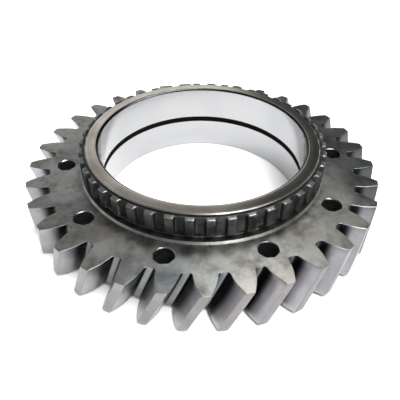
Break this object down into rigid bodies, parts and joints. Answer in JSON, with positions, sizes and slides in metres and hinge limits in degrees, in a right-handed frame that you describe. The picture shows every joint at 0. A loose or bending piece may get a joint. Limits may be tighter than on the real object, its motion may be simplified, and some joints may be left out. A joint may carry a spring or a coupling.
{
  "type": "helical gear wheel with dog clutch ring",
  "caption": "Free-running helical gear wheel with a drilled web and a raised dog clutch ring, turning on polished bearing sleeves with a black spacer ring between them.",
  "frame": {"origin": "on the axis of the gear, in the plane of the lower end faces of the boss and the lower sleeve", "axes": "+Z along the axis of rotation, from the gear towards the clutch ring; +X through the middle of one of the holes in the web"},
  "size_m": [0.188, 0.188, 0.0404],
  "materials": {
    "gear_steel": "case-hardened steel, ground on the tooth flanks, mottled grey on the web",
    "ring_steel": "lathe-turned end face, dark oxide film on the dog teeth and in the gaps between them",
    "sleeve_steel": "ground and polished bearing surface",
    "black_spacer": "black oxide, matt"
  },
  "bodies": {
    "sleeves": {"upper_sleeve": "sleeve_steel", "lower_sleeve": "sleeve_steel", "spacer_ring": "black_spacer"},
    "gear": {"gear_wheel": "gear_steel", "clutch_ring": "ring_steel"}
  },
  "joints": [
    {"name": "gear_spin", "type": "hinge", "parent": "sleeves", "child": "gear", "pos_m": [0, 0, 0.02], "axis": [0, 0, 1], "continuous": true}
  ]
}
